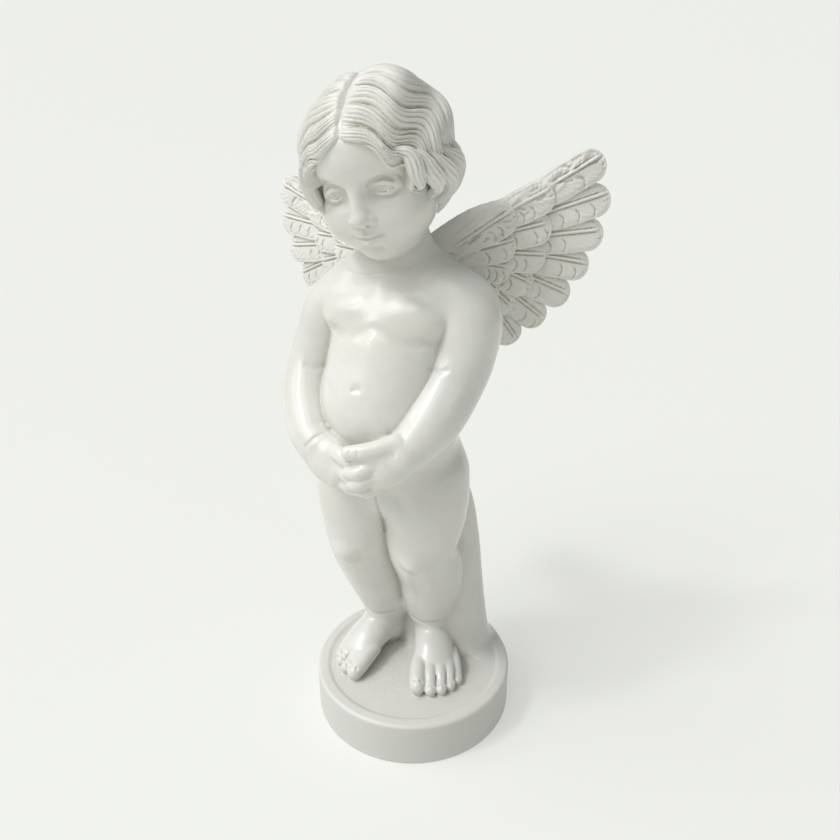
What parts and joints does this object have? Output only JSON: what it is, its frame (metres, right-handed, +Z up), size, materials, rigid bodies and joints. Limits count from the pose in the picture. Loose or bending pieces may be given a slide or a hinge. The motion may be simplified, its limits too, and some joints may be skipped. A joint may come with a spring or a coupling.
{
  "type": "statue",
  "caption": "Winged cherub with folded hands, standing barefoot on a round plinth, carved in polished white marble, for a garden or a hall.",
  "frame": {"origin": "centre of the round plinth's underside", "axes": "+Z up through the plinth, -Y towards the way the figure faces, +X towards the figure's left hand"},
  "size_m": [0.4303, 0.2691, 0.7934],
  "materials": {
    "white_marble": "polished white marble, rough on the wings and hair"
  },
  "bodies": {
    "root": {"cherub_statue": "white_marble"}
  },
  "joints": []
}
